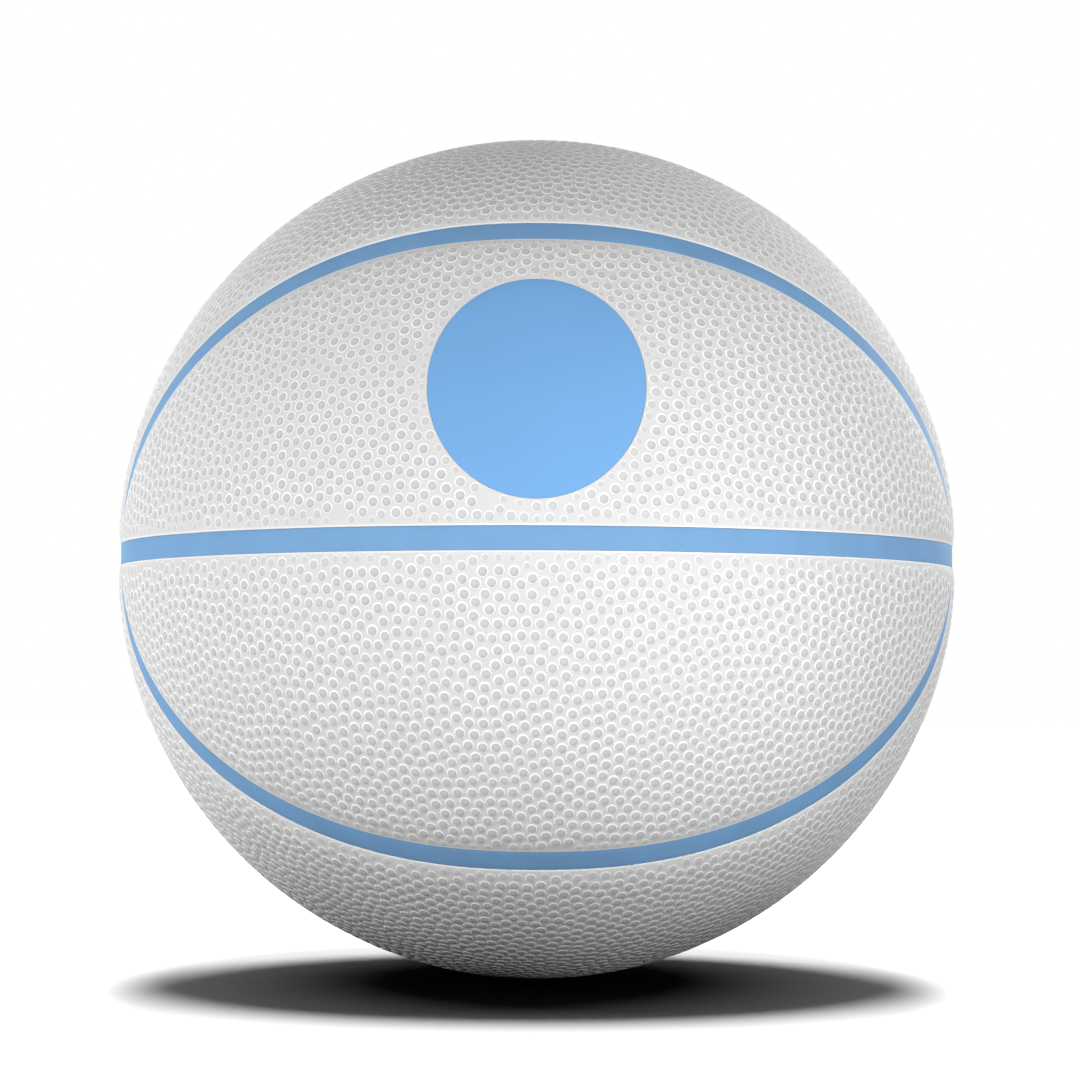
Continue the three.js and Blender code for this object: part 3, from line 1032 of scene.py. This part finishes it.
def wound_yarn(colours):
    """Yarn wound in many directions: crossed bands of thread."""
    finish = Finish.of_material("wound_yarn")
    threads = []
    for axis in ("X", "Y", "Z"):
        wave = finish.node(
            "ShaderNodeTexWave",
            {"bands_direction": axis},
            {"Vector": finish.place(), "Scale": 160.0, "Distortion": 6.0, "Detail Scale": 0.4},
        )
        threads.append(Value(finish, wave.outputs["Fac"]))
    lay = (threads[0] + threads[1] + threads[2]) * 0.333
    colour = finish.shaded(opaque(colours.yarn), 0.55 + lay * 0.6)
    return finish.rubber(colour, 0.85 + lay * 0.1, finish.bump(lay, 0.0003))


def dress(piece, material, node, body="ball"):
    """Gives a new piece its material and body, and hides the solid that it stands for.

    It throws no light back at the floor, so that the ball's shadow stays dark.
    """
    piece.data.materials.append(material)
    piece.visible_diffuse = False
    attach(piece, body)
    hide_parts(node)


class BALL_OT_cover_panels(Operator):
    """Builds the eight pebbled cover panels"""

    bl_idname = "ball.cover_panels"
    bl_label = "Cover Panels"

    def execute(self, context):
        scene = context.scene
        cover = scene.ball_cover
        badge = scene.ball_badge
        valve = scene.ball_valve
        quarter = Quarter(cover, scene.ball_seams)
        material = cover_rubber(scene.ball_colours)
        wells = {
            "lens_panel_front_upper": Well(
                direction(0.0, badge.latitude),
                badge.width / 2 + badge.gap,
                badge.surround,
                badge.foot_radius - badge.gap,
                badge.height / badge.width,
            ),
            "lens_panel_rear_upper": Well(
                direction(0.0, valve.latitude),
                valve.neck_diameter / 2 + badge.gap,
                valve.surround,
            ),
        }
        kinds = {"lens_panel": LensPanel(quarter), "crescent_panel": CrescentPanel(quarter)}
        seed = FIRST_SEED
        for kind, panel in kinds.items():
            for place, turn in QUARTER_TURNS.items():
                node = f"{kind}_{place}"
                piece = make_panel(f"pebbled_{node}", panel, quarter, cover, turn, seed, wells.get(node))
                dress(piece, material, node)
                seed += SEED_STEP
        return {"FINISHED"}


class BALL_OT_seam_ribs(Operator):
    """Builds the level, upright and oval seam ribs"""

    bl_idname = "ball.seam_ribs"
    bl_label = "Seam Ribs"

    LEVEL_POINTS = 480
    LINE_POINTS = 300

    def execute(self, context):
        scene = context.scene
        seams = scene.ball_seams
        quarter = Quarter(scene.ball_cover, seams)
        foot = scene.ball_cover.inside_radius
        material = rib_rubber(scene.ball_colours)
        around = full_turn(self.LEVEL_POINTS)
        end = quarter.edge

        def level_line(offset):
            return direction(around, offset)

        def upright_line(offset):
            return quarter.upright_edge(-offset, end, self.LINE_POINTS)

        def oval_line(offset):
            return quarter.oval_edge(offset, end, self.LINE_POINTS)

        width = seams.rib_width
        level = make_rib("smooth_level_rib", level_line, width, seams, foot, closed=True)
        dress(level, material, "level_rib")
        for place, turn in (("upper", (1, 1, 1)), ("lower", (1, -1, -1))):
            node = f"upright_rib_{place}"
            dress(make_rib(f"smooth_{node}", upright_line, width, seams, foot, turn), material, node)
        for place, turn in QUARTER_TURNS.items():
            node = f"oval_rib_{place}"
            oval = make_rib(f"smooth_{node}", oval_line, seams.oval_rib_width, seams, foot, turn)
            dress(oval, material, node)
        return {"FINISHED"}


class BALL_OT_badge(Operator):
    """Builds the smooth badge"""

    bl_idname = "ball.badge"
    bl_label = "Badge"

    RIM_POINTS = 128
    EDGE_ROUND = 0.0002
    RINGS = 8

    def execute(self, context):
        scene = context.scene
        sizes = scene.ball_badge
        axis = direction(0.0, sizes.latitude)
        skin = Skin()

        def row(radius, level):
            angle = np.array([radius / sizes.top_radius])
            ways = rings_about(axis[None], angle, self.RIM_POINTS, stretch=sizes.height / sizes.width)[0]
            return skin.add(ways * level)

        rim = sizes.width / 2
        underside = [row(rim * share / self.RINGS, sizes.foot_radius) for share in range(1, self.RINGS + 1)]
        edge = corner_arc(self.EDGE_ROUND)
        top = [row(rim - inset, sizes.top_radius - drop) for inset, drop in edge]
        for share in range(self.RINGS - 1, 0, -1):
            top.append(row(rim * share / self.RINGS, sizes.top_radius))
        skin.loops(underside + top)
        skin.fan(underside[0][::-1], skin.add(axis * sizes.foot_radius))
        skin.fan(top[-1], skin.add(axis * sizes.top_radius))
        dress(skin.build("smooth_badge"), badge_rubber(scene.ball_colours), "badge")
        return {"FINISHED"}


def heights_along(node, axis, beyond=0.0):
    """Lowest and highest corner of a solid along an axis, of those farther from it than a radius."""
    corners = np.array([corner.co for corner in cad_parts[node].data.vertices])
    along = corners @ axis
    away = np.linalg.norm(corners - along[:, None] * axis, axis=1)
    kept = along[away > beyond]
    return kept.min(), kept.max()


class BALL_OT_valve(Operator):
    """Builds the valve seat and the valve core with its needle guide"""

    bl_idname = "ball.valve"
    bl_label = "Valve"

    POINTS = 64
    # Only the flange reaches beyond this share of its radius
    FLANGE_SHARE = 0.9

    def execute(self, context):
        scene = context.scene
        sizes = scene.ball_valve
        colours = scene.ball_colours
        axis = direction(math.pi, sizes.latitude)
        neck = sizes.neck_diameter / 2
        bore = sizes.bore_diameter / 2
        flange = sizes.flange_diameter / 2
        base, top = heights_along("valve_seat", axis)
        flange_foot, flange_top = heights_along("valve_seat", axis, beyond=flange * self.FLANGE_SHARE)
        bore_floor = base + sizes.floor_thickness
        seat = [
            (0, base),
            (neck, base),
            (neck, flange_foot),
            (flange, flange_foot),
            (flange, flange_top),
            (neck, flange_top),
            (neck, top),
            (bore, top),
            (bore, bore_floor),
            (0, bore_floor),
        ]
        seat = rounded(seat, sizes.rounding, corners=(1, 3, 4, 6, 7))
        seat_piece = make_lathe("moulded_valve_seat", axis, seat, self.POINTS)
        dress(seat_piece, plain_rubber("valve_rubber", colours.valve, 0.45), "valve_seat")

        plug = bore - sizes.core_clearance
        guide = sizes.needle_diameter / 2
        core_base, core_top = heights_along("valve_core", axis)
        core = [
            (0, core_base),
            (plug, core_base),
            (plug, core_top),
            (guide, core_top),
            (guide, core_top - sizes.needle_depth),
            (0, core_top - sizes.needle_depth),
        ]
        core = rounded(core, sizes.rounding, corners=(1, 2, 3))
        core_piece = make_lathe("moulded_valve_core", axis, core, self.POINTS)
        core_rubber = plain_rubber("core_rubber", colours.core, 0.4)
        dress(core_piece, core_rubber, "valve_core", body="valve_core")
        return {"FINISHED"}


class BALL_OT_inner_layers(Operator):
    """Finishes the carcass, the winding layer and the bladder inside the ball"""

    bl_idname = "ball.inner_layers"
    bl_label = "Inner Layers"

    def execute(self, context):
        colours = context.scene.ball_colours
        finishes = {
            "carcass": plain_rubber("carcass_rubber", colours.carcass, 0.6),
            "winding_layer": wound_yarn(colours),
            "bladder": plain_rubber("bladder_rubber", colours.bladder, 0.4),
        }
        for node, material in finishes.items():
            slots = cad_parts[node].data.materials
            slots.clear()
            slots.append(material)
        return {"FINISHED"}


def place_camera(stage):
    """Sets the camera at the photograph's viewing angle."""
    data = bpy.data.cameras.new("camera")
    data.lens = stage.lens
    camera = add_object("camera", data)
    back = Vector(direction(stage.camera_azimuth, stage.camera_elevation))
    camera.location = back * stage.camera_distance
    aim = (-back).to_track_quat("-Z", "Y").to_matrix()
    tilt = Matrix.Rotation(stage.aim_up, 3, "X")
    pan = Matrix.Rotation(-stage.aim_right, 3, "Y")
    roll = Matrix.Rotation(stage.camera_roll, 3, "Z")
    camera.rotation_mode = "QUATERNION"
    camera.rotation_quaternion = (aim @ pan @ tilt @ roll).to_quaternion()
    bpy.context.scene.camera = camera


def place_floor(stage):
    """A pale floor under the ball that throws little light back up at it."""
    size = 6.0
    level = -stage.id_data.ball_cover.crown_radius
    mesh = bpy.data.meshes.new("floor")
    corners = [(-size, -size, level), (size, -size, level), (size, size, level), (-size, size, level)]
    mesh.from_pydata(corners, [], [(0, 1, 2, 3)])
    floor = add_object("floor", mesh)
    finish = Finish.of_material("pale_floor")
    bounce = finish.node("ShaderNodeBsdfDiffuse", {}, {"Color": opaque(stage.floor_bounce)})
    pale = finish.node("ShaderNodeBsdfDiffuse", {}, {"Color": opaque(stage.floor_colour)})
    finish.backdrop("ShaderNodeOutputMaterial", bounce, pale)
    mesh.materials.append(finish.owner)
    return floor


def light_world(stage):
    """A white backdrop that lights the ball only a little."""
    world = bpy.data.worlds.new("studio")
    finish = Finish(world)
    white = (1.0, 1.0, 1.0, 1.0)
    even = finish.node("ShaderNodeBackground", {}, {"Color": white, "Strength": stage.ambient})
    shown = finish.node("ShaderNodeBackground", {}, {"Color": white, "Strength": 1.0})
    finish.backdrop("ShaderNodeOutputWorld", even, shown)
    stage.id_data.world = world


def add_lamp(name, kind, power, place):
    """A lamp at a place, turned to the ball's centre."""
    data = bpy.data.lights.new(name, kind)
    data.energy = power
    lamp = add_object(name, data)
    lamp.location = place
    lamp.rotation_mode = "QUATERNION"
    lamp.rotation_quaternion = (Vector() - Vector(place)).to_track_quat("-Z", "Y")
    return lamp


def link_light(lamp, piece, state):
    """Keeps a lamp's light on one piece alone, or off it."""
    group = bpy.data.collections.new(f"{lamp.name}_lit")
    lamp.light_linking.receiver_collection = group
    group.objects.link(piece)
    group.collection_objects[0].light_linking.link_state = state


class BALL_OT_stage(Operator):
    """Sets the camera, the floor and the lamps"""

    bl_idname = "ball.stage"
    bl_label = "Stage"

    def execute(self, context):
        scene = context.scene
        stage = scene.ball_stage
        place_camera(stage)
        floor = place_floor(stage)

        for name, (azimuth, elevation, distance, width, height, level) in SOFT_LAMPS.items():
            away = direction(math.radians(azimuth), math.radians(elevation)) * distance
            lamp = add_lamp(name, "AREA", level * stage.lamp_level * (math.pi * distance) ** 2, away)
            lamp.data.shape = "RECTANGLE"
            lamp.data.size = width
            lamp.data.size_y = height
            lamp.visible_camera = False
            link_light(lamp, floor, "EXCLUDE")

        for name, (right, rear, angle, share) in FLOOR_LAMPS.items():
            away = (math.tan(math.radians(right)), math.tan(math.radians(rear)), 1.0)
            lamp = add_lamp(name, "SUN", stage.floor_light * share, away)
            lamp.data.angle = math.radians(angle)
            link_light(lamp, floor, "INCLUDE")
        light_world(stage)
        scene.view_settings.view_transform = "Standard"
        return {"FINISHED"}


class BALL_PT_sidebar(Panel):
    """Lists the ball's pieces and their sizes"""

    bl_idname = "BALL_PT_sidebar"
    bl_label = "Basketball"
    bl_space_type = "VIEW_3D"
    bl_region_type = "UI"
    bl_category = "Basketball"

    def draw(self, context):
        layout = self.layout
        for operator in OPERATORS:
            layout.operator(operator.bl_idname)
        for name, group in GROUPS.items():
            box = layout.box()
            box.label(text=group.__doc__)
            for key in group.__annotations__:
                box.prop(getattr(context.scene, name), key)


GROUPS = {
    "ball_cover": CoverSizes,
    "ball_seams": SeamSizes,
    "ball_badge": BadgeSizes,
    "ball_valve": ValveSizes,
    "ball_colours": Colours,
    "ball_stage": StageSettings,
}
OPERATORS = (
    BALL_OT_stage,
    BALL_OT_cover_panels,
    BALL_OT_seam_ribs,
    BALL_OT_badge,
    BALL_OT_valve,
    BALL_OT_inner_layers,
)


def register():
    """Adds the properties, the operators and the sidebar."""
    for name, group in GROUPS.items():
        bpy.utils.register_class(group)
        setattr(bpy.types.Scene, name, PointerProperty(type=group))
    for operator in OPERATORS:
        bpy.utils.register_class(operator)
    bpy.utils.register_class(BALL_PT_sidebar)


def unregister():
    """Takes the properties, the operators and the sidebar away again."""
    bpy.utils.unregister_class(BALL_PT_sidebar)
    for operator in reversed(OPERATORS):
        bpy.utils.unregister_class(operator)
    for name, group in GROUPS.items():
        delattr(bpy.types.Scene, name)
        bpy.utils.unregister_class(group)


def main():
    """Builds the whole scene."""
    register()
    bpy.ops.ball.stage()
    bpy.ops.ball.cover_panels()
    bpy.ops.ball.seam_ribs()
    bpy.ops.ball.badge()
    bpy.ops.ball.valve()
    bpy.ops.ball.inner_layers()


if __name__ == "__main__":
    main()
